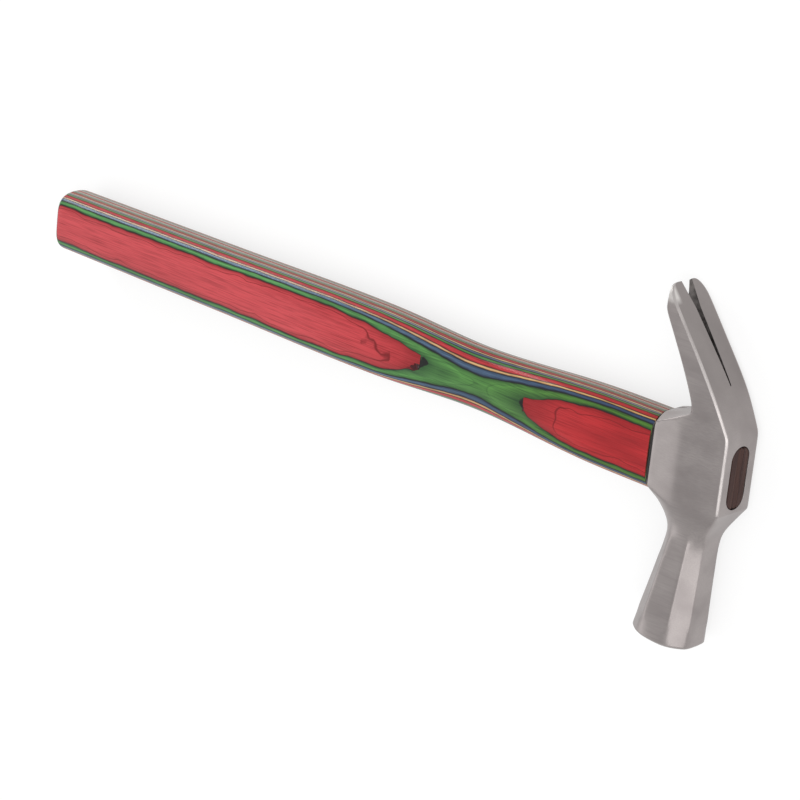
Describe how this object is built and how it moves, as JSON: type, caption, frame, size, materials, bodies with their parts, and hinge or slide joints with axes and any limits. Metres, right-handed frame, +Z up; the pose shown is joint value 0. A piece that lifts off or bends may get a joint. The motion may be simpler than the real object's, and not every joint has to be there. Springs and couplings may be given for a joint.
{
  "type": "farrier hammer",
  "caption": "Farrier's driving hammer: faceted steel head with an octagonal poll and a curved split claw, wedged on a waisted handle of glued dyed veneers.",
  "frame": {"origin": "under the middle of the hammer's box, on the surface it lies on", "axes": "+X along the handle to the head, +Y from the poll to the claw, +Z up out of the cheek the hammer doesn't lie on"},
  "size_m": [0.332, 0.1248, 0.022],
  "materials": {
    "steel": "satin ground steel",
    "red_veneer": "red dyed, gloss varnish",
    "green_veneer": "green dyed, gloss varnish",
    "blue_veneer": "blue dyed, gloss varnish",
    "cream_veneer": "undyed, gloss varnish",
    "wedge": "stained end grain",
    "resin": "black resin"
  },
  "bodies": {
    "root": {"head": "steel", "veneer_01_red_front": "red_veneer", "veneer_01_red_rear": "red_veneer", "veneer_02_green": "green_veneer", "veneer_03_blue": "blue_veneer", "veneer_04_cream": "cream_veneer", "veneer_05_red": "red_veneer", "veneer_06_green": "green_veneer", "veneer_07_blue": "blue_veneer", "veneer_08_cream": "cream_veneer", "veneer_09_red": "red_veneer", "veneer_10_green": "green_veneer", "veneer_11_blue": "blue_veneer", "veneer_12_cream": "cream_veneer", "veneer_13_red": "red_veneer", "veneer_14_cream": "cream_veneer", "veneer_15_blue": "blue_veneer", "veneer_16_green": "green_veneer", "veneer_17_red": "red_veneer", "veneer_18_cream": "cream_veneer", "veneer_19_blue": "blue_veneer", "veneer_20_green": "green_veneer", "veneer_21_red": "red_veneer", "veneer_22_cream": "cream_veneer", "veneer_23_blue": "blue_veneer", "veneer_24_green": "green_veneer", "veneer_25_red_front": "red_veneer", "veneer_25_red_rear": "red_veneer", "eye_wedge": "wedge", "resin_bead": "resin"}
  },
  "joints": []
}
